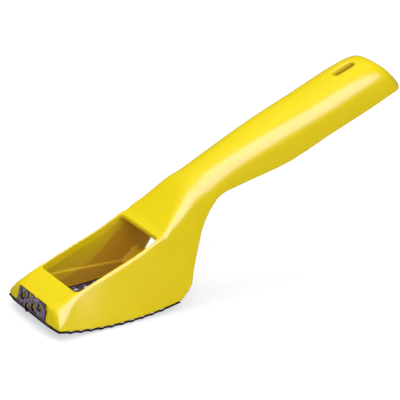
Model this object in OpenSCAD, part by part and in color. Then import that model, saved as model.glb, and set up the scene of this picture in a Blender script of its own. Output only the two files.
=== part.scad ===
// Hand shaver with a curved perforated blade under a one-piece moulded body.
// Units are millimetres. The nose points to -X and the handle rises towards +X.
// The sole rests on Z = 0, and the origin is at the middle of the footprint.

/* [Base] */
// Length of the sole, from the corners of the nose to the heel
base_l = 59; // [57:0.5:64]
// Width of the base at the sole
base_w = 46; // [43:0.5:50]
// Radius of the rockered sole
sole_r = 140; // [125:5:180]
// Width across the two shoulders, where the side walls meet the deck
shoulder_w = 34.2; // [32.6:0.2:36]
// Height of the deck at the nose, above the corners of the sole
nose_h = 7.4; // [6.8:0.1:8]
// Height of the deck just behind the chip window
deck_h = 28.1; // [26:0.1:30]
// Lean of the nose and of the blade's two bent ends, in degrees
nose_lean = 15; // [12:0.5:18]
// Radius of the nose, seen from above
nose_r = 120; // [100:5:160]
// Thickness of the moulded walls
wall = 2.4; // [2:0.1:2.8]
// Height of the seat rails at their nose end, above the corners of the sole
rail_nose_h = 7.9; // [6:0.1:8.4]
// Height of the seat rails at their heel end
rail_heel_h = 3.7; // [3:0.1:5]
// Height of the crossbar behind the blade
crossbar_h = 9.3; // [8:0.1:10.5]

/* [Chip window] */
// Distance from the nose corners to the front edge of the window
window_x = 12; // [11:0.1:13.4]
// Length of the window
window_l = 39.5; // [37:0.1:41]
// Width of the rim that is left beside the window, inside each shoulder
rim_w = 1.2; // [1:0.1:2.4]
// Radius of the window's corners
window_corner = 2.5; // [1.5:0.1:4]

/* [Neck and handle] */
// Reach of the neck's underside behind the heel
neck_reach = 25; // [23:0.5:30]
// Height of the neck's underside above the corners of the sole
neck_h = 38.4; // [36:0.2:41]
// Width of the neck
neck_w = 24.8; // [23:0.2:27]
// Depth of the neck, square to the handle
neck_t = 12; // [11:0.2:13.5]
// Rise of the handle, in degrees
handle_rise = 22; // [18:0.5:26]
// Length of the handle behind the neck
handle_l = 102.6; // [95:0.2:125]
// Width of the grip
handle_w = 29; // [27:0.5:32]
// Depth of the grip
handle_t = 17; // [15.5:0.1:19]
// Length of the hanging slot
slot_l = 11.4; // [9:0.2:14]
// Width of the hanging slot
slot_w = 4.6; // [4.4:0.1:6]
// Distance from the middle of the slot to the end of the handle
slot_back = 20.8; // [19:0.2:26]
// Thickness of the ribs inside the grip
rib_t = 1.6; // [1.2:0.1:2.2]

/* [Blade] */
// Thickness of the blade's strip
blade_t = 0.6; // [0.5:0.05:0.8]
// Height of the teeth below the strip
tooth_h = 0.8; // [0.5:0.05:1.2]
// Diameter of the punched holes
hole_d = 2.6; // [2.2:0.1:2.8]
// Pitch of the holes, both across the blade and along it
hole_pitch = 4.9; // [4.6:0.1:6]
// Width of the ear that hooks over the nose
ear_w = 24; // [20:0.5:26]
// Height of the ear above the corners of the sole
ear_h = 8.3; // [7:0.1:8.8]
// Width of the tab that enters the heel
tab_w = 20; // [14:0.5:26]
// Length of that tab
tab_l = 5; // [4:0.1:6]
// Distance of the blade's long edges inside the sides of the sole
edge_inset = 0.5; // [0.3:0.1:1.2]
// Gap between the blade and the body all round
fit_gap = 0.3; // [0.2:0.05:0.4]
// Depth of the blade's seat in the sole
seat_depth = 0.2; // [0.15:0.05:0.5]

/* [Hidden] */

// The sole is an arc of a circle whose centre stands over the middle of the base
sole_x = base_l/2;
sole_cz = sqrt(sole_r*sole_r - sole_x*sole_x);
function sole_z(x) = sole_cz - sqrt(sole_r*sole_r - (x - sole_x)*(x - sole_x));

// Everything below the blade's top face
seat_r = sole_r - seat_depth;
blade_r = seat_r + fit_gap;
blade_w = base_w - 2*edge_inset;
tooth_r = blade_r + blade_t + tooth_h;
tooth_wall = 0.45;

// Stations of the loft: the underside and the top of a slice through the body, as
// [rim x, rim z, top x, top z, rim half width, shoulder half width, rounding inwards, rounding down]
start_x = -6;
front_fall = 0.42;
cheek_flare = 3;
cheek_round = 7.5;
deck_round = 2.5;
function mix(from, to, share) = from + (to - from)*share;
function deck_station(x, top_z, flare, rounding) =
    [x, sole_z(x), x, top_z, base_w/2, shoulder_w/2 + flare, rounding, rounding];

// Along the deck: share of the base's length, share of the deck's rise
deck_shape = [[0.205, 0.25], [0.44, 0.505], [0.68, 0.755], [0.865, 1]];
deck_stations = [
    deck_station(start_x, nose_h + front_fall*start_x, cheek_flare, cheek_round),
    deck_station(0, nose_h, cheek_flare, cheek_round),
    for (s = deck_shape) deck_station(base_l*s[0], mix(nose_h, deck_h, s[1]), 0, deck_round)];
deck_end = base_l*deck_shape[len(deck_shape) - 1][0];

// The handle has a straight axis of its own: a runs along it from the neck's underside, b square to it
neck_x = base_l + neck_reach;
function in_handle(a, b) = [neck_x + a*cos(handle_rise) - b*sin(handle_rise),
                            neck_h + a*sin(handle_rise) + b*cos(handle_rise)];
function handle_station(rim_a, rim_b, top_a, top_b, half_w, taper, round_in, round_down) = let (
    rim = in_handle(rim_a, rim_b), top = in_handle(top_a, top_b)
) [rim[0], rim[1], top[0], top[1], half_w, half_w - taper, round_in, round_down];

// From the heel to the neck each value runs from the body's to the neck's, by these shares:
// rim along and up, top along and up, rim width, shoulder width, rounding
neck_shape = [
    [0.01, 0.01, 0.23, 0.195, 0.00, 0.17, 0.20],
    [0.22, 0.14, 0.39, 0.375, 0.10, 0.39, 0.45],
    [0.32, 0.30, 0.54, 0.56, 0.29, 0.60, 0.65],
    [0.48, 0.535, 0.70, 0.75, 0.55, 0.80, 0.80],
    [0.66, 0.755, 0.83, 0.88, 0.80, 0.91, 0.93]];
neck_lean = 3;
neck_round = 10;
grip_round = 12.3;
grip_taper = 1.3;
neck_top = in_handle(-neck_lean, neck_t - 0.3);
heel_x = base_l - 1.5;
neck_stations = [
    [heel_x, sole_z(heel_x), mix(deck_end, heel_x, 0.5), mix(deck_h, neck_top[1], 0.085),
     base_w/2, shoulder_w/2 - 0.4, deck_round + 0.5, deck_round + 0.5],
    for (s = neck_shape) [
        base_l + neck_reach*s[0], neck_h*s[1], mix(deck_end, neck_top[0], s[2]), mix(deck_h, neck_top[1], s[3]),
        mix(base_w, neck_w, s[4])/2, mix(shoulder_w/2, neck_w/2 - grip_taper, s[5]),
        mix(deck_round, neck_round, s[6]), mix(deck_round, neck_round - 1, s[6])]];

// Along the straight of the handle: share of its length, share of the grip's extra depth,
// height of the top above the neck's, share of the grip's extra width
grip_shape = [
    [0.00, 0.00, -0.3, 0.00],
    [0.14, 0.26, 0.7, -0.10],
    [0.39, 0.88, 0.9, 0.50],
    [0.65, 0.85, 0.1, 0.90],
    [0.87, 0.92, -0.2, 1.00],
    [1.00, 0.98, -1.5, 0.75]];
end_l = 10.6;
grip_l = handle_l - end_l;
grip_stations = [for (s = grip_shape) handle_station(
    grip_l*s[0], (neck_t - handle_t)*s[1],
    grip_l*s[0] - neck_lean*pow(1 - s[0], 3), neck_t + s[2],
    mix(neck_w, handle_w, s[3])/2, grip_taper, mix(neck_round, grip_round, s[0]), neck_round)];

// Round end of the handle: back from the tip for rim and top, top above the grip's rim,
// half width lost, rounding inwards and down
end_shape = [
    [4.6, 5.8, 10.7, 2.5, 11, 6],
    [1.6, 2.6, 4.3, 6.5, 6, 4],
    [0.4, 0.4, 0.8, 10.4, 3, 2]];
tip_drop = 2;
function end_stations(back, count) = [for (i = [0 : count - 1]) let (s = end_shape[i]) handle_station(
    handle_l - back - s[0], neck_t - handle_t - tip_drop*(1 - s[0]/end_l),
    handle_l - back - s[1], neck_t - handle_t + s[2],
    handle_w/2 - s[3], grip_taper, s[4], s[5])];

body_stations = concat(deck_stations, neck_stations, grip_stations);

// Smooth curve through the stations, with a few slices between each two
slices = 4;
function curve(p, q, r, s, t) = 0.5*(2*q + (r - p)*t + (2*p - 5*q + 4*r - s)*t*t
                                     + (3*q - p - 3*r + s)*t*t*t);
function station_at(list, u) = let (last = len(list) - 1, i = min(floor(u), last - 1))
    curve(list[max(i - 1, 0)], list[i], list[i + 1], list[min(i + 2, last)], u - i);

// Half of a slice in its own plane, from the rim up over the rounded shoulder to the middle of the top
wall_steps = 3;
round_steps = 7;
function half_slice(rim_w, top_w, h, round_in, round_down) = let (
    side = norm([rim_w - top_w, h]),
    down = [top_w, h] + [rim_w - top_w, -h]*min(round_down/side, 0.95),
    in = [top_w*(1 - min(round_in/top_w, 0.96)), h]
) concat(
    [for (i = [0 : wall_steps - 1]) [rim_w, 0] + (down - [rim_w, 0])*i/wall_steps],
    [for (i = [0 : round_steps]) let (t = i/round_steps)
        down*(1 - t)*(1 - t) + [top_w, h]*2*t*(1 - t) + in*t*t],
    [[in[0]/2, h], [0, h]]);

// A whole slice, drawn inwards by the wall for the hollow, and lengthened below its rim
shoulder_extra = 0.6;
function slice(s, inset, below) = let (
    along = [s[2] - s[0], s[3] - s[1]], h = norm(along),
    half = half_slice(s[4] - inset, s[5] - inset - (inset > 0 ? shoulder_extra : 0), h - inset + below,
        max(s[6] - inset/2, 1), max(s[7] - inset/2, 1)),
    n = len(half)
) [for (i = [0 : 2*n - 2]) let (p = i < n ? half[i] : half[2*n - 2 - i], up = (p[1] - below)/h)
    [s[0] + along[0]*up, (i < n ? 1 : -1)*p[0], s[1] + along[1]*up]];

module loft(list, inset, below) {
    last = (len(list) - 1)*slices;
    rings = [for (k = [0 : last]) slice(station_at(list, k/slices), inset, below)];
    n = len(rings[0]);
    polyhedron([for (ring = rings) each ring], concat(
        [[for (i = [0 : n - 1]) i]],
        [for (k = [0 : last - 1]) for (i = [0 : n - 1]) let (a = k*n + i, b = k*n + (i + 1) % n)
            each [[a, b + n, b], [a, a + n, b + n]]],
        [[for (i = [n - 1 : -1 : 0]) last*n + i]]), convexity = 6);
}

// Outside of the body, longer at the nose than it ends up
tip = end_stations(0, len(end_shape));
module outer_form() {
    loft(concat(body_stations, tip), 0, 0);
}

// Hollow of the body: it stops short of the nose and of the tip, and under the deck it is wider at
// the shoulders, because the side walls thin upwards to the window's rims
hollow_x = 6;
rim_step = 0.3;
thinned = wall + shoulder_extra - rim_w - rim_step;
hollow_stations = [for (i = [0 : len(body_stations) - 1]) body_stations[i]
    + (i < len(deck_stations) ? [0, 0, 0, 0, 0, thinned, 0, 0] : [0, 0, 0, 0, 0, 0, 0, 0])];
deck_and_heel = [for (i = [0 : len(deck_stations) + 1]) hollow_stations[i]];
module inner_form() {
    intersection() {
        loft(concat(hollow_stations, end_stations(wall, len(end_shape) - 1)), wall, 1);
        translate([hollow_x, -base_w, -base_w]) cube([base_l + neck_reach + handle_l, 2*base_w, 4*base_w]);
    }
}

// The nose, the ear and the heel tab all lean alike, so their frame starts at the foot of the nose
nose_x = sqrt(nose_r*nose_r - base_w*base_w/4) - nose_r;
module leaning() {
    translate([nose_x, 0, 0]) rotate([0, nose_lean, 0]) children();
}
function from_leaning(u, v) = [nose_x + u*cos(nose_lean) + v*sin(nose_lean),
                               v*cos(nose_lean) - u*sin(nose_lean)];

// Everything in front of the rounded, leaning face of the nose
module in_front_of_nose() {
    difference() {
        translate([nose_x - 20, -base_w, -20]) cube([28, 2*base_w, 40]);
        leaning() translate([nose_r, 0, 0]) cylinder(r = nose_r, h = 80, center = true, $fn = 360);
    }
}

// Outline of the chip window: a rounded corner, a straight long edge and a rounded corner, then mirrored
corner_steps = 5;
function window_side() = let (
    front = window_x + window_corner, back = window_x + window_l - window_corner,
    y = shoulder_w/2 - rim_w - window_corner
) concat(
    [for (i = [0 : corner_steps]) let (t = 180 - 90*i/corner_steps)
        [front + window_corner*cos(t), y + window_corner*sin(t)]],
    [for (i = [0 : corner_steps]) let (t = 90 - 90*i/corner_steps)
        [back + window_corner*cos(t), y + window_corner*sin(t)]]);
module chip_window() {
    side = window_side();
    translate([0, 0, rail_nose_h + 1]) linear_extrude(deck_h + 10) polygon(concat(
        side, [for (i = [len(side) - 1 : -1 : 0]) [side[i][0], -side[i][1]]]));
}

// The tab's front face, at the sole and in the leaning frame
tab_x = base_l - 2.4;
tab_u = (tab_x - nose_x)*cos(nose_lean) - sole_z(tab_x)*sin(nose_lean);

// Side view of the seat rails and of the crossbar that closes them at the heel
crossbar_x = base_l - 5;
crossbar_ramp = 4.8;
crossbar_back = base_l + 2.3;
heel_clear = 0.3;
seat_end = tab_x + blade_t + 2*fit_gap;
module seat_profile() {
    translate([0, base_w/2, 0]) rotate([90, 0, 0]) linear_extrude(base_w) polygon([
        [hollow_x - 1, -base_w/4], [hollow_x - 1, rail_nose_h],
        [crossbar_x, rail_heel_h], [crossbar_x + crossbar_ramp, crossbar_h],
        [crossbar_back, crossbar_h], [crossbar_back, rail_heel_h - heel_clear],
        [base_l + heel_clear, 2*heel_clear], [seat_end - heel_clear, sole_z(seat_end)],
        [seat_end - heel_clear, -base_w/4]]);
}
rail_w = 1;
module between_rails() {
    intersection() {
        loft(deck_and_heel, wall + rail_w, wall);
        translate([0, -base_w, -base_w/2]) cube([crossbar_x, 2*base_w, base_w]);
    }
}

// Cross ribs under the roof of the grip
rib_first = 14;
rib_step = 16;
rib_count = 4;
rib_rise = 4;
module ribs() {
    translate([neck_x, 0, neck_h]) rotate([0, -handle_rise, 0])
        for (i = [0 : rib_count - 1])
            translate([rib_first + i*rib_step - rib_t/2, -handle_w/2, neck_t - handle_t + rib_rise])
                cube([rib_t, handle_w, handle_t]);
}

// Hanging slot through the roof of the grip, near the tip
module hanging_slot() {
    run = slot_l - slot_w;
    translate([neck_x, 0, neck_h]) rotate([0, -handle_rise, 0])
        translate([handle_l - slot_back, 0, neck_t - handle_t]) {
            for (side = [-1, 1])
                translate([side*run/2, 0, 0]) cylinder(d = slot_w, h = 2*handle_t, $fn = 48);
            translate([-run/2, -slot_w/2, 0]) cube([run, slot_w, 2*handle_t]);
        }
}

// Shallow seat of the blade's strip, open at both sides, where the strip's dark edges show
module blade_seat() {
    difference() {
        translate([nose_x - 4, -base_w, -base_w/4])
            cube([seat_end - nose_x + 4, 2*base_w, base_w/3]);
        translate([sole_x, 0, sole_cz]) rotate([90, 0, 0])
            cylinder(r = seat_r, h = 2*base_w, center = true, $fn = 720);
    }
}

// The ear stands a little proud of its recess in the nose, and the tab enters a slot in the crossbar
ear_proud = 0.3;
recess = blade_t + fit_gap - ear_proud;
module ear_recess() {
    leaning() translate([-10, -ear_w/2 - fit_gap, -10]) cube([10 + recess, ear_w + 2*fit_gap, 30]);
}
module tab_slot() {
    leaning() translate([tab_u - fit_gap, -tab_w/2 - fit_gap, tab_foot[2] - 4])
        cube([blade_t + 2*fit_gap, tab_w + 2*fit_gap, tab_l + 4 + fit_gap]);
}

// Side view of the blade: a strip of one thickness along the seat, bent up at both ends.
// A bend's centre is given in the leaning frame by how far along it stands.
bend_r = 0.6;
function bend_at(u) = let (
    p = from_leaning(u, 0) - [sole_x, sole_cz],
    along = p*[sin(nose_lean), cos(nose_lean)],
    v = -along - sqrt(along*along - p*p + pow(blade_r - bend_r, 2)),
    centre = from_leaning(u, v)
) [centre[0], centre[1], v, atan2(centre[1] - sole_cz, centre[0] - sole_x)];
ear_foot = bend_at(bend_r + blade_t - ear_proud);
tab_foot = bend_at(tab_u - bend_r);
function arc(centre, r, from, to, steps) =
    [for (i = [0 : steps]) let (a = mix(from, to, i/steps)) [centre[0] + r*cos(a), centre[1] + r*sin(a)]];
strip_steps = 48;
bend_steps = 8;
module blade_side() {
    axis = [sole_x, sole_cz];
    ear_turn = [360 + ear_foot[3], 180 - nose_lean];
    polygon(concat(
        arc(axis, blade_r + blade_t, ear_foot[3], tab_foot[3], strip_steps),
        arc(tab_foot, bend_r + blade_t, tab_foot[3], -nose_lean, bend_steps),
        [from_leaning(tab_u + blade_t, tab_foot[2] + tab_l), from_leaning(tab_u, tab_foot[2] + tab_l)],
        arc(tab_foot, bend_r, -nose_lean, tab_foot[3], bend_steps),
        arc(axis, blade_r, tab_foot[3], ear_foot[3], strip_steps),
        arc(ear_foot, bend_r, ear_turn[0], ear_turn[1], bend_steps),
        [from_leaning(blade_t - ear_proud, ear_h), from_leaning(-ear_proud, ear_h)],
        arc(ear_foot, bend_r + blade_t, ear_turn[1], ear_turn[0], bend_steps)));
}

// The strip is cut square beside the ear and the tab, and its front corners follow the nose
module beside(foot, half, side) {
    translate([sole_x, 0, sole_cz]) rotate([0, -foot[3] - 90, 0])
        for (y = [-base_w, half])
            translate([side < 0 ? -base_w : 0, y, -blade_r - 5]) cube([base_w, base_w - half, 20]);
}
module strip() {
    difference() {
        translate([0, blade_w/2, 0]) rotate([90, 0, 0]) linear_extrude(blade_w) blade_side();
        beside(ear_foot, ear_w/2, -1);
        beside(tab_foot, tab_w/2, 1);
        difference() {
            translate([-ear_proud, 0, 0]) in_front_of_nose();
            cube([40, ear_w + 1, 40], center = true);
        }
    }
}

// The sheet is punched all over, in columns along it and rows that slant across it. A hole stays
// clear of an edge or is cut well open by it, and no hole cuts a corner loose.
row_angle = 19.3;
hole_margin = 0.8;
open_least = 0.15;
function hole(i, j) = hole_pitch*[i, -i*tan(row_angle) - j];
function past(y, width) = abs(y) + hole_d/2 - width/2;

// Holes of the ear: distance across, and up from its foot
ear_first = [3.1, 2.1];
ear_foot_clear = 1.8;
function in_ear(h) = let (top = h[1] + hole_d/2 - ear_h) past(h[0], ear_w) < -hole_margin
    && (top < -hole_margin/2 || (top > open_least && top < hole_d - 2*open_least));
function at_corner(h) = let (in = ear_w/2 - abs(h[0]), down = ear_h - h[1])
    min(in, down) > 0 && norm([in, down]) < hole_d/2 - open_least/2;
ear_holes = [for (j = [-3 : 3]) for (i = [-5 : 5]) let (h = ear_first + hole(i, j))
    if (h[1] > ear_foot_clear && (in_ear(h) || at_corner(h))) h];

// Holes of the strip: distance across, and along it from the middle of the sole
strip_first = 4.7;
front_clear = 1.6;
strip_holes = [for (j = [-4 : 16]) for (i = [-6 : 6])
    let (h = hole(i, j), x = strip_first - h[1], y = ear_first[0] + h[0], side = past(y, blade_w))
    if ((side < -hole_margin || (side > open_least && side < hole_d/2))
        && x > front_clear + hole_d/2 && x < tab_x - hole_d/2 - hole_margin - bend_r) [y, x - sole_x]];
module at_strip_hole(h) {
    translate([sole_x, h[0], sole_cz]) rotate([0, -h[1]/blade_r*180/PI, 0]) translate([0, 0, -blade_r]) children();
}

// Both pieces are drawn from the corners of the nose and moved to the origin of the footprint
front_x = ear_foot[0] - bend_r - blade_t;
back_x = tip[len(tip) - 1][0];
function tooth_depth(along) = let (t = along/blade_r*180/PI)
    tooth_r*cos(t) + abs(sin(t))*(hole_d/2 + tooth_wall + sign(t)*hole_d/4);
low_z = sole_cz - max([for (h = strip_holes) tooth_depth(h[1])]);
module in_place() {
    translate([-(front_x + back_x)/2, 0, -low_z]) children();
}

module body() {
    color("gold") in_place() difference() {
        union() {
            difference() {
                outer_form();
                inner_form();
            }
            intersection() {
                loft(concat(body_stations, end_stations(wall, 1)), wall/2, 0);
                union() {
                    difference() {
                        seat_profile();
                        between_rails();
                    }
                    ribs();
                }
            }
        }
        in_front_of_nose();
        chip_window();
        blade_seat();
        ear_recess();
        tab_slot();
        hanging_slot();
    }
}

module blade() {
    color("dimgray") in_place() difference() {
        union() {
            strip();
            intersection() {
                for (h = strip_holes) at_strip_hole(h)
                    translate([-hole_d/4, 0, -blade_t - tooth_h])
                        cylinder(d = hole_d + 2*tooth_wall, h = tooth_h + blade_t/2, $fn = 24);
                cube([4*base_l, blade_w, 2*base_w], center = true);
            }
        }
        for (h = strip_holes) at_strip_hole(h)
            translate([0, 0, -blade_t - 2*tooth_h]) cylinder(d = hole_d, h = 2*blade_t + 3*tooth_h, $fn = 24);
        leaning() for (h = ear_holes)
            translate([-ear_proud - 1, h[0], h[1]]) rotate([0, 90, 0]) cylinder(d = hole_d, h = blade_t + 2, $fn = 24);
    }
}

body();
blade();
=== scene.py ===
import math

import bmesh
import bpy
from mathutils import Euler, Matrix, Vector
from mathutils.bvhtree import BVHTree


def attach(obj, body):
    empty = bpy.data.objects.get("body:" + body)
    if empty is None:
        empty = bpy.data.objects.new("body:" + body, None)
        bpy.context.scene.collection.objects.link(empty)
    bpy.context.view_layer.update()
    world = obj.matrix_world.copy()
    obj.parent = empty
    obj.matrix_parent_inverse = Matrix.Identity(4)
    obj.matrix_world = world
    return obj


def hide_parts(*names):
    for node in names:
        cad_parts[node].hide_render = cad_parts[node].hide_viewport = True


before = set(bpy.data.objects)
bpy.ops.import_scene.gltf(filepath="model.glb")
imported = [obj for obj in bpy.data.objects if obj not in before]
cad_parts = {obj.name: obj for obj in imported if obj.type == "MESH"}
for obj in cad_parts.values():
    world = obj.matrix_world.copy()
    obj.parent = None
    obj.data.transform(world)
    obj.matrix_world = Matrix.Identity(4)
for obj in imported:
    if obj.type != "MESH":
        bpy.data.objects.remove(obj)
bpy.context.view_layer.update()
bpy.ops.object.select_all(action="DESELECT")


# Camera: a long lens, a little above the tool and off its near side, with the nose towards the
# lower left corner. Places are worked out in millimetres from the corners of the nose, as on a
# drawing of the tool. MIDDLE_X is the footprint's middle there and TEETH_Z the lowest tooth, and
# to_frame moves a place from them to the frame, in metres.
MIDDLE_X = 89.5303
TEETH_Z = -4.6634


def to_frame(x, y, z):
    return Vector(((x - MIDDLE_X) / 1000, y / 1000, (z - TEETH_Z) / 1000))


azimuth, elevation = math.radians(-31.347), math.radians(23.194)
level_reach = math.cos(elevation)
back = Vector((math.sin(azimuth) * level_reach, -math.cos(azimuth) * level_reach, math.sin(elevation)))
right = Vector((math.cos(azimuth), math.sin(azimuth), 0))
up = back.cross(right)
ASIDE, ABOVE, AWAY = 69.936, 47.428, 1056.2
bpy.ops.object.camera_add(location=to_frame(*(right * ASIDE + up * ABOVE + back * AWAY)))
camera = bpy.context.object
camera.rotation_euler = Euler((math.radians(90) - elevation, 0, azimuth))
camera.data.sensor_width = 36
camera.data.lens = 225
camera.data.clip_start, camera.data.clip_end = 0.05, 20
bpy.context.scene.camera = camera


# Floor and light: a pale floor under a large soft box high on the near side, another high behind and
# a small one before the nose. The violet line box only shines, and its reflection on the yellow makes
# the cream line along the shoulder and the grip. Colours are shown plainly, without a film curve.
bpy.context.scene.view_settings.view_transform = "Standard"
bpy.context.scene.view_settings.look = "None"
bpy.ops.mesh.primitive_plane_add(size=12)
floor = bpy.context.object
floor.name = "floor"
floor.visible_glossy = False

# The paper's glow is only for the camera, which sees it white, and doesn't light the tool.
floor_paper = bpy.data.materials.new("floor_paper")
floor_paper.use_nodes = True
paper = floor_paper.node_tree.nodes["Principled BSDF"]
paper.inputs["Base Color"].default_value = (0.48, 0.48, 0.48, 1)
paper.inputs["Roughness"].default_value = 0.8
paper.inputs["Specular IOR Level"].default_value = 0.2
paper.inputs["Emission Color"].default_value = (0.97, 0.98, 1, 1)
seen = floor_paper.node_tree.nodes.new("ShaderNodeLightPath")
glow = floor_paper.node_tree.nodes.new("ShaderNodeMath")
glow.operation = "MULTIPLY"
FLOOR_GLOW = 0.6
glow.inputs[1].default_value = FLOOR_GLOW
floor_paper.node_tree.links.new(seen.outputs["Is Camera Ray"], glow.inputs[0])
floor_paper.node_tree.links.new(glow.outputs["Value"], paper.inputs["Emission Strength"])
floor.data.materials.append(floor_paper)


def soft_box(name, place, aim, size, power):
    bpy.ops.object.light_add(type="AREA", location=place)
    box = bpy.context.object
    box.name = name
    box.data.shape = "RECTANGLE"
    box.data.size, box.data.size_y = size
    box.data.energy = power
    box.rotation_euler = (Vector(aim) - Vector(place)).to_track_quat("-Z", "Y").to_euler()
    return box


near_box = soft_box("near_box", (0.0, -0.64, 0.76), (0.02, 0, 0.03), (1.2, 1.0), 8.7)
back_box = soft_box("back_box", (-0.12, 0.38, 0.85), (0.02, 0, 0.03), (1.2, 0.8), 6.4)
front_box = soft_box("front_box", (-1.0, -0.1, 0.3), (-0.06, 0, 0.01), (0.6, 0.3), 1.2)
for box in (near_box, back_box, front_box):
    box.visible_glossy = False
line_box = soft_box("line_box", (-0.12, -0.56, 0.78), (0.0, 0, 0.06), (1.6, 0.9), 58)
LINE_TURN = math.radians(-33)
line_box.rotation_euler.rotate_axis("Z", LINE_TURN)
line_box.data.color = (0.5, 0.42, 0.95)
line_box.visible_diffuse = False

world = bpy.data.worlds.new("surround")
bpy.context.scene.world = world
world.use_nodes = True
surround = world.node_tree.nodes["Background"]
surround.inputs["Color"].default_value = (1, 1, 1, 1)
ray = world.node_tree.nodes.new("ShaderNodeLightPath")
level = world.node_tree.nodes.new("ShaderNodeMath")
level.operation = "MULTIPLY_ADD"
SEEN_EXTRA, SURROUND = 0.95, 0.1
level.inputs[1].default_value, level.inputs[2].default_value = SEEN_EXTRA, SURROUND
world.node_tree.links.new(ray.outputs["Is Camera Ray"], level.inputs[0])
world.node_tree.links.new(level.outputs["Value"], surround.inputs["Strength"])


# Body: one injection moulding in yellow plastic, a channel open below, from the flat nose over the
# chip window and the swan neck to the grip. Walls are 2.4 mm, thinner up to the window's rims, and
# all edges are slightly softened. The blade stands FIT clear of its seat all round.
BASE_L, BASE_W, SHOULDER_W, WALL = 59.0, 46.0, 34.2, 2.4
SOLE_R, NOSE_R, NOSE_LEAN = 140.0, 120.0, math.radians(15)
NOSE_H, DECK_H = 7.4, 28.1
NECK_REACH, NECK_H, NECK_W, NECK_T = 25.0, 38.4, 24.8, 12.0
RISE, GRIP_L, GRIP_W, GRIP_T = math.radians(22), 102.6, 29.0, 17.0
SOLE_X = BASE_L / 2
SOLE_Z = math.sqrt(SOLE_R**2 - SOLE_X**2)
SEAT_DEPTH, FIT = 0.2, 0.3
SEAT_R = SOLE_R - SEAT_DEPTH


def mix(a, b, share):
    return a + (b - a) * share


def sole_z(x):
    return SOLE_Z - math.sqrt(SOLE_R**2 - (x - SOLE_X) ** 2)


def in_grip(along, off):
    return (
        BASE_L + NECK_REACH + along * math.cos(RISE) - off * math.sin(RISE),
        NECK_H + along * math.sin(RISE) + off * math.cos(RISE),
    )


# A station is rim x, rim z, top x, top z, half width at the rim and at the shoulder, and how far
# the shoulder's rounding reaches inwards and down.
def deck_station(x, top, flare, rounding):
    return [x, sole_z(x), x, top, BASE_W / 2, SHOULDER_W / 2 + flare, rounding, rounding]


def grip_station(rim_a, rim_b, top_a, top_b, half, taper, inwards, down):
    return [*in_grip(rim_a, rim_b), *in_grip(top_a, top_b), half, half - taper, inwards, down]


CHEEK_FLARE, CHEEK_ROUND, EDGE_ROUND = 3, 7.5, 1.4
NOSE_RUN, NOSE_DROP, DECK_SHARE = 6, 2.52, 0.865
deck = [
    deck_station(-NOSE_RUN, NOSE_H - NOSE_DROP, CHEEK_FLARE, CHEEK_ROUND),
    deck_station(0, NOSE_H, CHEEK_FLARE, CHEEK_ROUND),
]
for share, rise in [(0.205, 0.25), (0.44, 0.505), (0.68, 0.755), (DECK_SHARE, 1)]:
    deck.append(deck_station(BASE_L * share, mix(NOSE_H, DECK_H, rise), 0, EDGE_ROUND))
deck_end = BASE_L * DECK_SHARE

# The neck's stations are shares of the way from the heel and the deck's end to the grip.
NECK_LEAN, NECK_ROUND, GRIP_ROUND, TAPER = 3, 10, 12.3, 1.3
neck_top = in_grip(-NECK_LEAN, NECK_T - 0.3)
heel_x = BASE_L - 1.5
heel_top = (mix(deck_end, heel_x, 0.5), mix(DECK_H, neck_top[1], 0.085))
neck = [[heel_x, sole_z(heel_x), *heel_top, BASE_W / 2, SHOULDER_W / 2 - 0.4, 3, 3]]
for rim_x, rim_z, top_x, top_z, rim_w, top_w, soft in [
    (0.01, 0.01, 0.23, 0.195, 0.00, 0.17, 0.20),
    (0.22, 0.14, 0.39, 0.375, 0.10, 0.39, 0.45),
    (0.32, 0.30, 0.54, 0.56, 0.29, 0.60, 0.65),
    (0.48, 0.535, 0.70, 0.75, 0.55, 0.80, 0.80),
    (0.66, 0.755, 0.83, 0.88, 0.80, 0.91, 0.93),
]:
    neck.append(
        [
            BASE_L + NECK_REACH * rim_x,
            NECK_H * rim_z,
            mix(deck_end, neck_top[0], top_x),
            mix(DECK_H, neck_top[1], top_z),
            mix(BASE_W, NECK_W, rim_w) / 2,
            mix(SHOULDER_W / 2, NECK_W / 2 - TAPER, top_w),
            mix(EDGE_ROUND, NECK_ROUND, soft),
            mix(EDGE_ROUND, NECK_ROUND - 1, soft),
        ]
    )

# The grip's stations are shares of its length, its depth and its width, with the top's height over
# the neck's thickness.
END_L, TIP_DROP = 10.6, 2
grip = []
for along, deep, crown, wide in [
    (0.00, 0.00, -0.3, 0.00),
    (0.14, 0.26, 0.7, -0.10),
    (0.39, 0.88, 0.9, 0.50),
    (0.65, 0.85, 0.1, 0.90),
    (0.87, 0.92, -0.2, 1.00),
    (1.00, 0.98, -1.5, 0.75),
]:
    a = (GRIP_L - END_L) * along
    low_b, top_a = (NECK_T - GRIP_T) * deep, a - NECK_LEAN * (1 - along) ** 3
    half = mix(NECK_W, GRIP_W, wide) / 2
    inwards = mix(NECK_ROUND, GRIP_ROUND, along)
    grip.append(grip_station(a, low_b, top_a, NECK_T + crown, half, TAPER, inwards, NECK_ROUND))


# The grip's round end: the rim's and top's distance from the tip, the height, how much slimmer, and
# the rounding.
def grip_end(back_by, count):
    rows = [(4.6, 5.8, 10.7, 2.5, 11, 6), (1.6, 2.6, 4.3, 6.5, 6, 4), (0.4, 0.4, 0.8, 10.4, 3, 2)]
    return [
        grip_station(
            GRIP_L - back_by - rim,
            NECK_T - GRIP_T - TIP_DROP * (1 - rim / END_L),
            GRIP_L - back_by - top,
            NECK_T - GRIP_T + high,
            GRIP_W / 2 - slim,
            TAPER,
            inwards,
            down,
        )
        for rim, top, high, slim, inwards, down in rows[:count]
    ]


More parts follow.
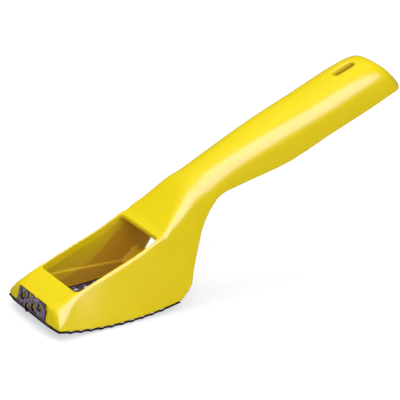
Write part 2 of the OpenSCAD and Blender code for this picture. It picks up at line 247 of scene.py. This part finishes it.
def half_slice(rim_w, top_w, h, inwards, down):
    side = math.hypot(rim_w - top_w, h)
    share = min(down / side, 0.95)
    low = (top_w + (rim_w - top_w) * share, h - h * share)
    high = (top_w * (1 - min(inwards / top_w, 0.96)), h)
    points = [(mix(rim_w, low[0], i / 8), mix(0, low[1], i / 8)) for i in range(8)]
    for i in range(13):
        t = i / 12
        points.append(
            (
                low[0] * (1 - t) ** 2 + top_w * 2 * t * (1 - t) + high[0] * t**2,
                low[1] * (1 - t) ** 2 + h * 2 * t * (1 - t) + h * t**2,
            )
        )
    return points + [(high[0] * 0.66, h), (high[0] * 0.33, h), (0, h)]


# A station's outline, or with an inset that of the hollow, which keeps a little more at the shoulders.
SHOULDER_EXTRA = 0.6


def ring(s, inset, below):
    along = (s[2] - s[0], s[3] - s[1])
    h = math.hypot(*along)
    shoulder = s[5] - inset - (SHOULDER_EXTRA if inset > 0 else 0)
    inwards, down = (max(reach - inset / 2, 1) for reach in s[6:8])
    half = half_slice(s[4] - inset, shoulder, h - inset + below, inwards, down)
    points = half + [(-y, z) for y, z in reversed(half[:-1])]
    return [
        to_frame(s[0] + along[0] * (z - below) / h, y, s[1] + along[1] * (z - below) / h) for y, z in points
    ]


def smooth_rings(stations, inset=0.0, below=0.0, steps=8):
    last = len(stations) - 1
    rings = []
    for k in range(last * steps + 1):
        i = min(k // steps, last - 1)
        t = k / steps - i
        p, q, r, s = (stations[min(max(j, 0), last)] for j in (i - 1, i, i + 1, i + 2))
        row = [
            0.5 * (2 * b + (c - a) * t + (2 * a - 5 * b + 4 * c - d) * t**2 + (3 * b - a - 3 * c + d) * t**3)
            for a, b, c, d in zip(p, q, r, s)
        ]
        rings.append(ring(row, inset, below))
    return rings


def face_outwards(piece):
    bpy.ops.object.mode_set(mode="EDIT")
    bpy.ops.mesh.select_all(action="SELECT")
    bpy.ops.mesh.normals_make_consistent(inside=False)
    bpy.ops.object.mode_set(mode="OBJECT")
    return piece


# Draws the first outline as a filled circle's points, then extrudes it from outline to outline.
def extrude_outlines(name, rings):
    bpy.ops.object.select_all(action="DESELECT")
    bpy.ops.mesh.primitive_circle_add(vertices=len(rings[0]), radius=0.01, fill_type="NGON")
    piece = bpy.context.object
    piece.name = piece.data.name = name
    for vertex, place in zip(piece.data.vertices, rings[0]):
        vertex.co = place
    bpy.ops.object.mode_set(mode="EDIT")
    bpy.ops.mesh.select_mode(type="FACE")
    bpy.ops.mesh.select_all(action="SELECT")
    for before, after in zip(rings, rings[1:]):
        bpy.ops.mesh.extrude_region_move()
        mesh = bmesh.from_edit_mesh(piece.data)
        moved = [v for v in mesh.verts if v.select]
        for vertex in moved:
            nearest = min(range(len(before)), key=lambda i: (before[i] - vertex.co).length_squared)
            vertex.co = after[nearest]
        bmesh.update_edit_mesh(piece.data)
    bpy.ops.object.mode_set(mode="OBJECT")
    return face_outwards(piece)


def join(pieces):
    bpy.ops.object.select_all(action="DESELECT")
    for piece in pieces:
        piece.select_set(True)
    bpy.context.view_layer.objects.active = pieces[0]
    bpy.ops.object.join()
    return pieces[0]


def finish_with(piece, kind, **settings):
    bpy.ops.object.select_all(action="DESELECT")
    bpy.context.view_layer.objects.active = piece
    piece.select_set(True)
    modifier = piece.modifiers.new(kind.lower(), kind)
    for key, value in settings.items():
        setattr(modifier, key, value)
    bpy.ops.object.modifier_apply(modifier=modifier.name)


def combine(pieces, other, operation):
    for piece in pieces:
        finish_with(piece, "BOOLEAN", object=other, operation=operation, solver="MANIFOLD")
    bpy.data.objects.remove(other)


def block(low, high, place=to_frame):
    bpy.ops.object.select_all(action="DESELECT")
    bpy.ops.mesh.primitive_cube_add(size=2)
    piece = bpy.context.object
    for vertex in piece.data.vertices:
        vertex.co = place(*(mix(a, b, (c + 1) / 2) for a, b, c in zip(low, high, vertex.co)))
    return face_outwards(piece)


def rod(radius, low, high, place, sides=64):
    bpy.ops.object.select_all(action="DESELECT")
    bpy.ops.mesh.primitive_cylinder_add(vertices=sides, radius=1, depth=2)
    piece = bpy.context.object
    for vertex in piece.data.vertices:
        x, y, z = vertex.co
        vertex.co = place(x * radius, y * radius, mix(low, high, (z + 1) / 2))
    return face_outwards(piece)


NOSE_X = math.sqrt(NOSE_R**2 - BASE_W**2 / 4) - NOSE_R


def from_nose(u, v):
    return (
        NOSE_X + u * math.cos(NOSE_LEAN) + v * math.sin(NOSE_LEAN),
        v * math.cos(NOSE_LEAN) - u * math.sin(NOSE_LEAN),
    )


def on_nose(u, y, v):
    x, z = from_nose(u, v)
    return to_frame(x, y, z)


def on_grip(a, y, b):
    x, z = in_grip(a, b)
    return to_frame(x, y, z)


def across_sole(x, z, y):
    return to_frame(SOLE_X + x, y, SOLE_Z + z)


def arc(x, y, radius, start, stop, steps):
    turns = [mix(start, stop, i / steps) for i in range(steps + 1)]
    return [(x + radius * math.cos(turn), y + radius * math.sin(turn)) for turn in turns]


# All that lies ahead of the nose's face, which is rounded in plan and in line with the ear's front.
def ahead_of_nose():
    ahead = block((NOSE_X - 20, -46, -20), (NOSE_X + 8, 46, 20))
    curve = rod(NOSE_R, -40, 40, lambda x, y, z: on_nose(x + NOSE_R - PROUD, y, z), 256)
    combine([ahead], curve, "DIFFERENCE")
    return ahead


outline = deck + neck + grip
body = extrude_outlines("yellow_body", smooth_rings(outline + grip_end(0, 3)))
skin = BVHTree.FromPolygons(
    [v.co for v in body.data.vertices], [face.vertices for face in body.data.polygons]
)
# Under the deck the hollow is wider at the shoulders, so that the walls thin to the window's rims.
THINNED, HOLLOW_X = 1.5, 6
spread = [[*s[:5], s[5] + THINNED, *s[6:]] for s in deck]
spread += outline[len(spread):]
hollow = extrude_outlines("hollow", smooth_rings(spread + grip_end(WALL, 2), WALL, 1))
combine([hollow], block((HOLLOW_X, -60, -60), (200, 60, 120)), "INTERSECT")
combine([body], hollow, "DIFFERENCE")

# Seat rails and crossbar, seen from the side, and the ribs of the grip.
TAB_X = BASE_L - 2.4
SEAT_END = TAB_X + 1.2
RAIL_NOSE, RAIL_HEEL, CROSSBAR_X, CROSSBAR_H, BELOW = 7.9, 3.7, 54, 9.3, -11.5
RAIL_STEP = 0.3
side = [
    (HOLLOW_X - 1, BELOW), (HOLLOW_X - 1, RAIL_NOSE), (CROSSBAR_X, RAIL_HEEL), (58.8, CROSSBAR_H),
    (61.3, CROSSBAR_H), (61.3, 3.4), (59.3, 0.6), (SEAT_END - 0.3, sole_z(SEAT_END)), (SEAT_END - 0.3, BELOW),
]
seat = extrude_outlines("seat", [[to_frame(x, y, z) for x, z in side] for y in (-23, 23)])
between = extrude_outlines("between", smooth_rings(spread[:8], WALL + RAIL_STEP, WALL))
combine([between], block((-20, -60, -60), (CROSSBAR_X, 60, 60)), "INTERSECT")
combine([seat], between, "DIFFERENCE")
RIB_T, RIB_RISE = 1.6, 4
rib_low = NECK_T - GRIP_T + RIB_RISE
ribs = [block((a - RIB_T / 2, -15, rib_low), (a + RIB_T / 2, 15, 14), on_grip) for a in (14, 30, 46, 62)]
join([seat, *ribs])
combine([seat], extrude_outlines("core", smooth_rings(outline + grip_end(WALL, 1), WALL / 2)), "INTERSECT")

# The nose is cut to its face, which leans back, with a recess for the blade's ear.
THICK, PROUD, EAR_W, TAB_W = 0.6, 0.3, 24.0, 20.0
combine([body, seat], ahead_of_nose(), "DIFFERENCE")
recess = block((-10, -EAR_W / 2 - FIT, -10), (THICK - PROUD + FIT, EAR_W / 2 + FIT, 20), on_nose)
combine([body, seat], recess, "DIFFERENCE")

# Chip window, from one shoulder's rim to the other's, with rounded corners.
WINDOW_X, WINDOW_L, CORNER, RIM = 12.0, 39.5, 2.5, 1.2
first, last = WINDOW_X + CORNER, WINDOW_X + WINDOW_L - CORNER
centre_y = SHOULDER_W / 2 - RIM - CORNER
window = arc(first, centre_y, CORNER, math.pi, math.pi / 2, 8)
window += arc(last, centre_y, CORNER, math.pi / 2, 0, 8)
window += [(x, -y) for x, y in reversed(window)]
prism = extrude_outlines("window", [[to_frame(x, y, z) for x, y in window] for z in (3.7, 40)])
combine([body, seat], prism, "DIFFERENCE")

# Seat of the blade, the slot for its tab, and the hanging slot.
under = block((NOSE_X - 4, -24, BELOW), (SEAT_END, 24, 3.8))
combine([under], rod(SEAT_R, -60, 60, across_sole, 720), "DIFFERENCE")
combine([body, seat], under, "DIFFERENCE")
TAB_U = (TAB_X - NOSE_X) * math.cos(NOSE_LEAN) - sole_z(TAB_X) * math.sin(NOSE_LEAN)
TAB_LOW, TAB_HIGH = 11.6, 20.9
tab_half = TAB_W / 2 + FIT
tab_slot = block((TAB_U - FIT, -tab_half, TAB_LOW), (TAB_U + THICK + FIT, tab_half, TAB_HIGH), on_nose)
combine([body, seat], tab_slot, "DIFFERENCE")
SLOT_A, SLOT_R, SLOT_RUN = 81.8, 2.3, 3.4
slot = arc(SLOT_A + SLOT_RUN, 0, SLOT_R, -math.pi / 2, math.pi / 2, 16)
slot += arc(SLOT_A - SLOT_RUN, 0, SLOT_R, math.pi / 2, math.pi * 1.5, 16)
prism = extrude_outlines("slot", [[on_grip(a, y, b) for a, y in slot] for b in (-5, 30)])
combine([body, seat], prism, "DIFFERENCE")

# The walls and what stands between them melt into one skin, whose edges are then softened, and the
# two corners of the nose outside the ear's recess are softened far more.
join([body, seat])
finish_with(body, "REMESH", mode="VOXEL", voxel_size=0.00042, adaptivity=0)
finish_with(body, "SMOOTH", factor=0.5, iterations=6)
CORNER_Y, CORNER_DEEP, CORNER_V = 13, 4.5, 4
front_edge = body.vertex_groups.new(name="front_edge")
for vertex in body.data.vertices:
    x, y, z = vertex.co * 1000
    x, z = x + MIDDLE_X - NOSE_X, z + TEETH_Z
    behind = x * math.cos(NOSE_LEAN) - z * math.sin(NOSE_LEAN) - y**2 / NOSE_R / 2
    up_nose = x * math.sin(NOSE_LEAN) + z * math.cos(NOSE_LEAN)
    if abs(y) > CORNER_Y and behind < CORNER_DEEP and up_nose > CORNER_V:
        front_edge.add([vertex.index], 1, "REPLACE")
finish_with(body, "SMOOTH", factor=0.5, iterations=90, vertex_group="front_edge")
body.vertex_groups.clear()
finish_with(body, "DECIMATE", ratio=0.5)

# Painted shade: inside the walls, where light comes only off yellow plastic, the colour is painted
# deeper towards brown with the distance from the outer skin, more so low down and towards the heel,
# and less on faces that look up. In the hanging slot it starts only SLOT_DEEP below the skin.
SKIN_DEEP, SLOT_DEEP, FADE, SLOT_RIM = 0.4, 1.8, 0.8, 0.4
FULL_DROP, HEEL_FROM, HEEL_RUN, NECK_FROM, GRIP_SHADE = 17, 38, 30, 66, 0.6
painted_shade = body.data.attributes.new("painted_shade", "FLOAT", "POINT")
for vertex in body.data.vertices:
    x, y, z = vertex.co * 1000
    x, z = x + MIDDLE_X, z + TEETH_Z
    deep = skin.find_nearest(vertex.co)[3] * 1000
    top = mix(NOSE_H, DECK_H, x / deck_end) if x < deck_end else DECK_H + 0.84 * (x - deck_end)
    shade = (top - z) / FULL_DROP + max(x - HEEL_FROM, 0) / HEEL_RUN if x < NECK_FROM else GRIP_SHADE
    shade = min(max(shade, 0), 0.9) * (1 - 0.35 * max(vertex.normal.z, 0))
    start = SKIN_DEEP
    a = (x - BASE_L - NECK_REACH) * math.cos(RISE) + (z - NECK_H) * math.sin(RISE)
    if abs(a - SLOT_A) < SLOT_RUN + SLOT_R + SLOT_RIM and abs(y) < SLOT_R + SLOT_RIM:
        shade, start = 1, SLOT_DEEP
    if x > HOLLOW_X - 1:
        painted_shade.data[vertex.index].value = min(max((deep - start) / FADE, 0), 1) * shade
bpy.ops.object.shade_smooth()
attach(body, "body")
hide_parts("body")

moulding = bpy.data.materials.new("yellow_moulding")
moulding.use_nodes = True
tree = moulding.node_tree
plastic = tree.nodes["Principled BSDF"]
plastic.inputs["IOR"].default_value = 1.5
plastic.inputs["Specular IOR Level"].default_value = 0.35
where = tree.nodes.new("ShaderNodeTexCoord")
mottle = tree.nodes.new("ShaderNodeTexNoise")
mottle.inputs["Scale"].default_value = 35
mottle.inputs["Detail"].default_value = 3
tree.links.new(where.outputs["Object"], mottle.inputs["Vector"])
tint = tree.nodes.new("ShaderNodeValToRGB")
tint.color_ramp.elements[0].position, tint.color_ramp.elements[1].position = 0.3, 0.7
tint.color_ramp.elements[0].color = (0.86, 0.665, 0.003, 1)
tint.color_ramp.elements[1].color = (0.89, 0.70, 0.004, 1)
tree.links.new(mottle.outputs["Fac"], tint.inputs["Fac"])
# The painted shade is read back here and multiplies the moulding's colour towards brown.
shaded = tree.nodes.new("ShaderNodeAttribute")
shaded.attribute_name = "painted_shade"
painted_shade_tint = tree.nodes.new("ShaderNodeValToRGB")
painted_shade_tint.color_ramp.elements[0].color = (1, 1, 1, 1)
painted_shade_tint.color_ramp.elements[1].color = (0.3, 0.18, 1, 1)
painted_shade_tint.color_ramp.elements.new(0.45).color = (1, 0.96, 1, 1)
painted_shade_tint.color_ramp.elements.new(0.8).color = (1, 0.84, 1, 1)
painted_shade_tint.color_ramp.elements.new(0.9).color = (0.85, 0.6, 1, 1)
tree.links.new(shaded.outputs["Fac"], painted_shade_tint.inputs["Fac"])
colour_with_painted_shade = tree.nodes.new("ShaderNodeMix")
colour_with_painted_shade.data_type = "RGBA"
colour_with_painted_shade.blend_type = "MULTIPLY"
colour_with_painted_shade.inputs["Factor"].default_value = 1
tree.links.new(tint.outputs["Color"], colour_with_painted_shade.inputs["A"])
tree.links.new(painted_shade_tint.outputs["Color"], colour_with_painted_shade.inputs["B"])
tree.links.new(colour_with_painted_shade.outputs["Result"], plastic.inputs["Base Color"])
sheen = tree.nodes.new("ShaderNodeMapRange")
sheen.inputs["To Min"].default_value, sheen.inputs["To Max"].default_value = 0.23, 0.29
tree.links.new(mottle.outputs["Fac"], sheen.inputs["Value"])
dulled = tree.nodes.new("ShaderNodeMath")
dulled.operation = "MULTIPLY_ADD"
dulled.inputs[1].default_value = 0.35
tree.links.new(shaded.outputs["Fac"], dulled.inputs[0])
tree.links.new(sheen.outputs["Result"], dulled.inputs[2])
tree.links.new(dulled.outputs["Value"], plastic.inputs["Roughness"])
peel = tree.nodes.new("ShaderNodeTexNoise")
peel.inputs["Scale"].default_value = 900
tree.links.new(where.outputs["Object"], peel.inputs["Vector"])
bump = tree.nodes.new("ShaderNodeBump")
bump.inputs["Strength"].default_value = 0.05
bump.inputs["Distance"].default_value = 0.0002
tree.links.new(peel.outputs["Fac"], bump.inputs["Height"])
tree.links.new(bump.outputs["Normal"], plastic.inputs["Normal"])
body.data.materials.clear()
body.data.materials.append(moulding)


# Blade: one strip of hardened steel 0.6 mm thick, punched all over with sharp-lipped holes in slanting
# rows and bent up at both ends. It springs into the sole, with its ear over the nose and its tab in the
# heel. First the strip from the side, with both bends.
BLADE_W, EAR_H, TAB_L, BEND = BASE_W - 1, 8.3, 5.0, 0.6
STRIP_R = SEAT_R + FIT


def bend_at(u):
    x, z = from_nose(u, 0)
    x, z = x - SOLE_X, z - SOLE_Z
    along = x * math.sin(NOSE_LEAN) + z * math.cos(NOSE_LEAN)
    v = -along - math.sqrt(along**2 - x**2 - z**2 + (STRIP_R - BEND) ** 2)
    x, z = from_nose(u, v)
    return x, z, v, math.atan2(z - SOLE_Z, x - SOLE_X)


ear_x, ear_z, _, ear_turn = bend_at(BEND + THICK - PROUD)
tab_x, tab_z, tab_v, tab_turn = bend_at(TAB_U - BEND)
ear_from, ear_to = 2 * math.pi + ear_turn, math.pi - NOSE_LEAN
side = arc(SOLE_X, SOLE_Z, STRIP_R + THICK, ear_turn, tab_turn, 64)
side += arc(tab_x, tab_z, BEND + THICK, tab_turn, -NOSE_LEAN, 8)
side += [from_nose(TAB_U + THICK, tab_v + TAB_L), from_nose(TAB_U, tab_v + TAB_L)]
side += arc(tab_x, tab_z, BEND, -NOSE_LEAN, tab_turn, 8)
side += arc(SOLE_X, SOLE_Z, STRIP_R, tab_turn, ear_turn, 64)
side += arc(ear_x, ear_z, BEND, ear_from, ear_to, 8)
side += [from_nose(THICK - PROUD, EAR_H), from_nose(-PROUD, EAR_H)]
side += arc(ear_x, ear_z, BEND + THICK, ear_to, ear_from, 8)
edges = (-BLADE_W / 2, BLADE_W / 2)
blade = extrude_outlines("steel_blade", [[to_frame(x, y, z) for x, z in side] for y in edges])


# On the strip, x runs along it from the middle, y across it and z up from its top face.
def on_strip(turn):
    def place(x, y, z):
        out = STRIP_R - z
        place_x = SOLE_X + out * math.cos(turn) - x * math.sin(turn)
        return to_frame(place_x, y, SOLE_Z + out * math.sin(turn) + x * math.cos(turn))

    return place


# The tab is cut square, the ear runs out into the strip, and the front corners follow the nose.
FLARE = 3.5
clear = EAR_W / 2 + FLARE
for sign in (-1, 1):
    low_y, high_y = sorted((sign * TAB_W / 2, sign * 40))
    combine([blade], block((0, low_y, -8), (30, high_y, 15), on_strip(tab_turn)), "DIFFERENCE")
    corner = arc(clear, FLARE + 0.1, FLARE, math.pi, math.pi * 1.5, 8)
    beside = [(40, 30), (EAR_W / 2, 30), *corner, (clear, -5), (40, -5)]
    prism = extrude_outlines("beside", [[on_nose(u, sign * y, v) for y, v in beside] for u in (-10, 0.9)])
    combine([blade], prism, "DIFFERENCE")
ahead = ahead_of_nose()
combine([ahead], block((-30, -clear, -30), (30, clear, 30)), "DIFFERENCE")
combine([blade], ahead, "DIFFERENCE")

# Beside the tab the sheet runs on to the heel.
for sign in (-1, 1):
    low_y, high_y = sorted((sign * TAB_W / 2, sign * BLADE_W / 2))
    combine([blade], block((-0.5, low_y, -THICK), (2.2, high_y, 0), on_strip(tab_turn)), "UNION")

# Punched holes, in columns along the sheet and rows that slant across it, up the ear too. The ear's
# top and its near corner cut through some, and the near column stays just inside the edge, which
# trims its lips. From above each hole is a drawn-in dish.
HOLE, PITCH, TOOTH, SLANT = 1.3, 4.9, 0.8, math.tan(math.radians(19.3))
FIRST_X, FIRST_Y, EAR_FIRST = 4.7, 3.1, 2.1
EDGE_CLEAR, FRONT_CLEAR, HEEL_CLEAR = 0.3, 1.6, 0.8
holes = []
for row in range(-4, 17):
    for column in range(-5, 4):
        y = max(FIRST_Y + PITCH * column, HOLE + EDGE_CLEAR - BLADE_W / 2)
        x = FIRST_X + PITCH * (row + column * SLANT)
        if FRONT_CLEAR + HOLE < x < TAB_X - HOLE - HEEL_CLEAR - BEND:
            holes.append((y, on_strip((x - SOLE_X) / STRIP_R - math.pi / 2)))


def punch(place, y, wide, lean):
    bpy.ops.object.select_all(action="DESELECT")
    sides = 24
    bpy.ops.mesh.primitive_cylinder_add(vertices=sides, radius=1, depth=2)
    piece = bpy.context.object
    bpy.ops.object.mode_set(mode="EDIT")
    bpy.ops.mesh.select_mode(type="FACE")
    mesh = bmesh.from_edit_mesh(piece.data)
    for face in mesh.faces:
        face.select = face.normal.z > 0.9
    bpy.ops.mesh.extrude_region_move()
    bpy.ops.object.mode_set(mode="OBJECT")
    for vertex in piece.data.vertices:
        a, b, level = vertex.co.x, vertex.co.y, -0.45
        radius, shift = HOLE, 0
        if vertex.co.z < 0:
            level = -1.2
        elif vertex.index >= 2 * sides:
            level, radius, shift = 0.05, wide, lean
        vertex.co = place(a * radius - shift, y + b * radius, level)
    return face_outwards(piece)


# On the ear, x runs up it, and z is the height above its back face, with the front at -THICK.
def on_ear(v):
    def place(x, y, z):
        return on_nose(THICK - PROUD + z, y, v + x)

    return place


DISH, EAR_DISH, LEAN = 1.75, 1.35, 0.35
dishes = [punch(place, y, min(DISH, BLADE_W / 2 - 0.1 - abs(y)), LEAN) for y, place in holes]
combine([blade], join(dishes), "DIFFERENCE")
ear_holes = []
for column, row in ((-2, 0), (-1, 0), (0, 0), (1, -1), (0, -1), (-1, -1), (-3, 0)):
    up_ear = EAR_FIRST - PITCH * (row + column * SLANT)
    ear_holes.append((FIRST_Y + PITCH * column, on_ear(up_ear)))
combine([blade], join([punch(place, y, EAR_DISH, 0) for y, place in ear_holes]), "DIFFERENCE")

# Faces cut through the sheet, at its outline and in the holes, are painted dark: partly the dark of
# the hardening, partly painted shade where the hole walls and the sheet's edges lie in shadow.
cut = blade.data.attributes.new("cut", "FLOAT", "FACE")
upright = Vector((math.cos(NOSE_LEAN), 0, -math.sin(NOSE_LEAN)))
for face in blade.data.polygons:
    x, y, z = face.center * 1000
    out = Vector((x + MIDDLE_X - SOLE_X, 0, z + TEETH_Z - SOLE_Z))
    flat = out.normalized() if out.length > STRIP_R - 0.3 else upright
    cut.data[face.index].value = float(abs(face.normal.dot(flat)) < 0.5)

# One tooth is a ring whose lip rises towards the nose and leans over the hole, with its edge to the heel.
bpy.ops.object.select_all(action="DESELECT")
bpy.ops.mesh.primitive_torus_add(major_segments=14, minor_segments=4, major_radius=1.5, minor_radius=0.3)
tooth = bpy.context.object
ground = tooth.data.attributes.new("ground", "FLOAT", "POINT")
shade_black = tooth.data.attributes.new("shade_black", "FLOAT", "POINT")
for vertex in tooth.data.vertices:
    turn = math.atan2(vertex.co.y, vertex.co.x)
    rise = (0.5 - 0.5 * math.cos(turn)) ** 0.8
    radius, level = [
        (HOLE + 0.15 + 0.6 * rise, -0.4),
        (HOLE + 0.02, -0.3),
        (HOLE - 0.02 - 0.22 * rise, 0.1 - THICK - TOOTH * rise),
        (HOLE + 0.12 - 0.2 * rise, -THICK - TOOTH * rise),
    ][vertex.index % 4]
    vertex.co = (radius * math.cos(turn), radius * math.sin(turn), level)
    ground.data[vertex.index].value = (0, 0, 0.7, 0.35)[vertex.index % 4] * (0.1 + 0.9 * rise)
    # Painted shade: the tooth is painted dark at its foot and round its hole, less towards the lip's edge.
    shade_black.data[vertex.index].value = (1, 1, 0.2, 0.5)[vertex.index % 4]


def copy_of(piece, place, y, tall=1.0, wide=1.0):
    copy = piece.copy()
    copy.data = piece.data.copy()
    bpy.context.collection.objects.link(copy)
    for vertex in copy.data.vertices:
        a, b, level = vertex.co
        if level <= -THICK:
            level = -THICK + (level + THICK) * tall
        vertex.co = place(a * wide, y + b * wide, level)
    return copy


teeth = join([copy_of(tooth, place, y) for y, place in holes])
combine([teeth], block((-100, -BLADE_W / 2, -100), (200, BLADE_W / 2, 100)), "INTERSECT")

# The ear's four whole holes have a low rim painted dark all over, a painted shade ring round each hole.
for vertex in tooth.data.vertices:
    ground.data[vertex.index].value = 0
    shade_black.data[vertex.index].value = 1
RIM_TALL, RIM_WIDE = 0.25, 1.2
rims = [copy_of(tooth, place, y, RIM_TALL, RIM_WIDE) for y, place in ear_holes[:4]]
bpy.data.objects.remove(tooth)
join([blade, teeth, *rims])
bpy.ops.object.shade_smooth_by_angle(angle=math.radians(38))
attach(blade, "blade")
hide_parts("blade")

steel = bpy.data.materials.new("punched_steel")
steel.use_nodes = True
tree = steel.node_tree
metal = tree.nodes["Principled BSDF"]
metal.inputs["Metallic"].default_value = 0.75
where = tree.nodes.new("ShaderNodeTexCoord")
grit = tree.nodes.new("ShaderNodeTexNoise")
grit.inputs["Scale"].default_value = 850
grit.inputs["Detail"].default_value = 5
grit.inputs["Roughness"].default_value = 0.7
tree.links.new(where.outputs["Object"], grit.inputs["Vector"])
shade = tree.nodes.new("ShaderNodeValToRGB")
shade.color_ramp.elements[0].position, shade.color_ramp.elements[1].position = 0.38, 0.66
shade.color_ramp.elements[0].color = (0.07, 0.05, 0.052, 1)
shade.color_ramp.elements[1].color = (0.9, 0.78, 0.78, 1)
tree.links.new(grit.outputs["Fac"], shade.inputs["Fac"])
lips = tree.nodes.new("ShaderNodeAttribute")
lips.attribute_name = "ground"
bright = tree.nodes.new("ShaderNodeMix")
bright.data_type = "RGBA"
bright.inputs["B"].default_value = (0.6, 0.58, 0.57, 1)
tree.links.new(lips.outputs["Fac"], bright.inputs["Factor"])
# Painted shade darkens the strip, which lies under and inside the body, and fades out where the ear and
# the tab rise from it.
FADE_END, FADE_START = 2.4, 0.6
bare = tree.nodes.new("ShaderNodeVectorMath")
bare.operation = "SUBTRACT"
bare.inputs[1].default_value = to_frame(SOLE_X, 0, SOLE_Z)
tree.links.new(where.outputs["Object"], bare.inputs[0])
turned = tree.nodes.new("ShaderNodeVectorMath")
turned.operation = "MULTIPLY"
turned.inputs[1].default_value = (1, 0, 1)
tree.links.new(bare.outputs["Vector"], turned.inputs[0])
reach = tree.nodes.new("ShaderNodeVectorMath")
reach.operation = "LENGTH"
tree.links.new(turned.outputs["Vector"], reach.inputs[0])
strip_shade = tree.nodes.new("ShaderNodeMapRange")
strip_shade.inputs["From Min"].default_value = (STRIP_R - FADE_END) / 1000
strip_shade.inputs["From Max"].default_value = (STRIP_R - FADE_START) / 1000
strip_shade.inputs["To Max"].default_value = 0.75
tree.links.new(reach.outputs["Value"], strip_shade.inputs["Value"])
darkest = strip_shade.outputs["Result"]
for name in ("cut", "shade_black"):
    mask = tree.nodes.new("ShaderNodeAttribute")
    mask.attribute_name = name
    larger = tree.nodes.new("ShaderNodeMath")
    larger.operation = "MAXIMUM"
    tree.links.new(mask.outputs["Fac"], larger.inputs[0])
    tree.links.new(darkest, larger.inputs[1])
    darkest = larger.outputs["Value"]
# The largest of the masks mixes in the dark colour: painted shade, and on cut faces partly the hardening's
# dark.
shade_and_hardening_black = tree.nodes.new("ShaderNodeMix")
shade_and_hardening_black.data_type = "RGBA"
shade_and_hardening_black.inputs["B"].default_value = (0.02, 0.017, 0.02, 1)
tree.links.new(darkest, shade_and_hardening_black.inputs["Factor"])
tree.links.new(shade.outputs["Color"], shade_and_hardening_black.inputs["A"])
tree.links.new(shade_and_hardening_black.outputs["Result"], bright.inputs["A"])
tree.links.new(bright.outputs["Result"], metal.inputs["Base Color"])
dull = tree.nodes.new("ShaderNodeMapRange")
dull.inputs["To Min"].default_value, dull.inputs["To Max"].default_value = 0.5, 0.25
tree.links.new(lips.outputs["Fac"], dull.inputs["Value"])
tree.links.new(dull.outputs["Result"], metal.inputs["Roughness"])
bump = tree.nodes.new("ShaderNodeBump")
bump.inputs["Strength"].default_value = 0.6
bump.inputs["Distance"].default_value = 0.0002
tree.links.new(grit.outputs["Fac"], bump.inputs["Height"])
tree.links.new(bump.outputs["Normal"], metal.inputs["Normal"])
blade.data.materials.clear()
blade.data.materials.append(steel)
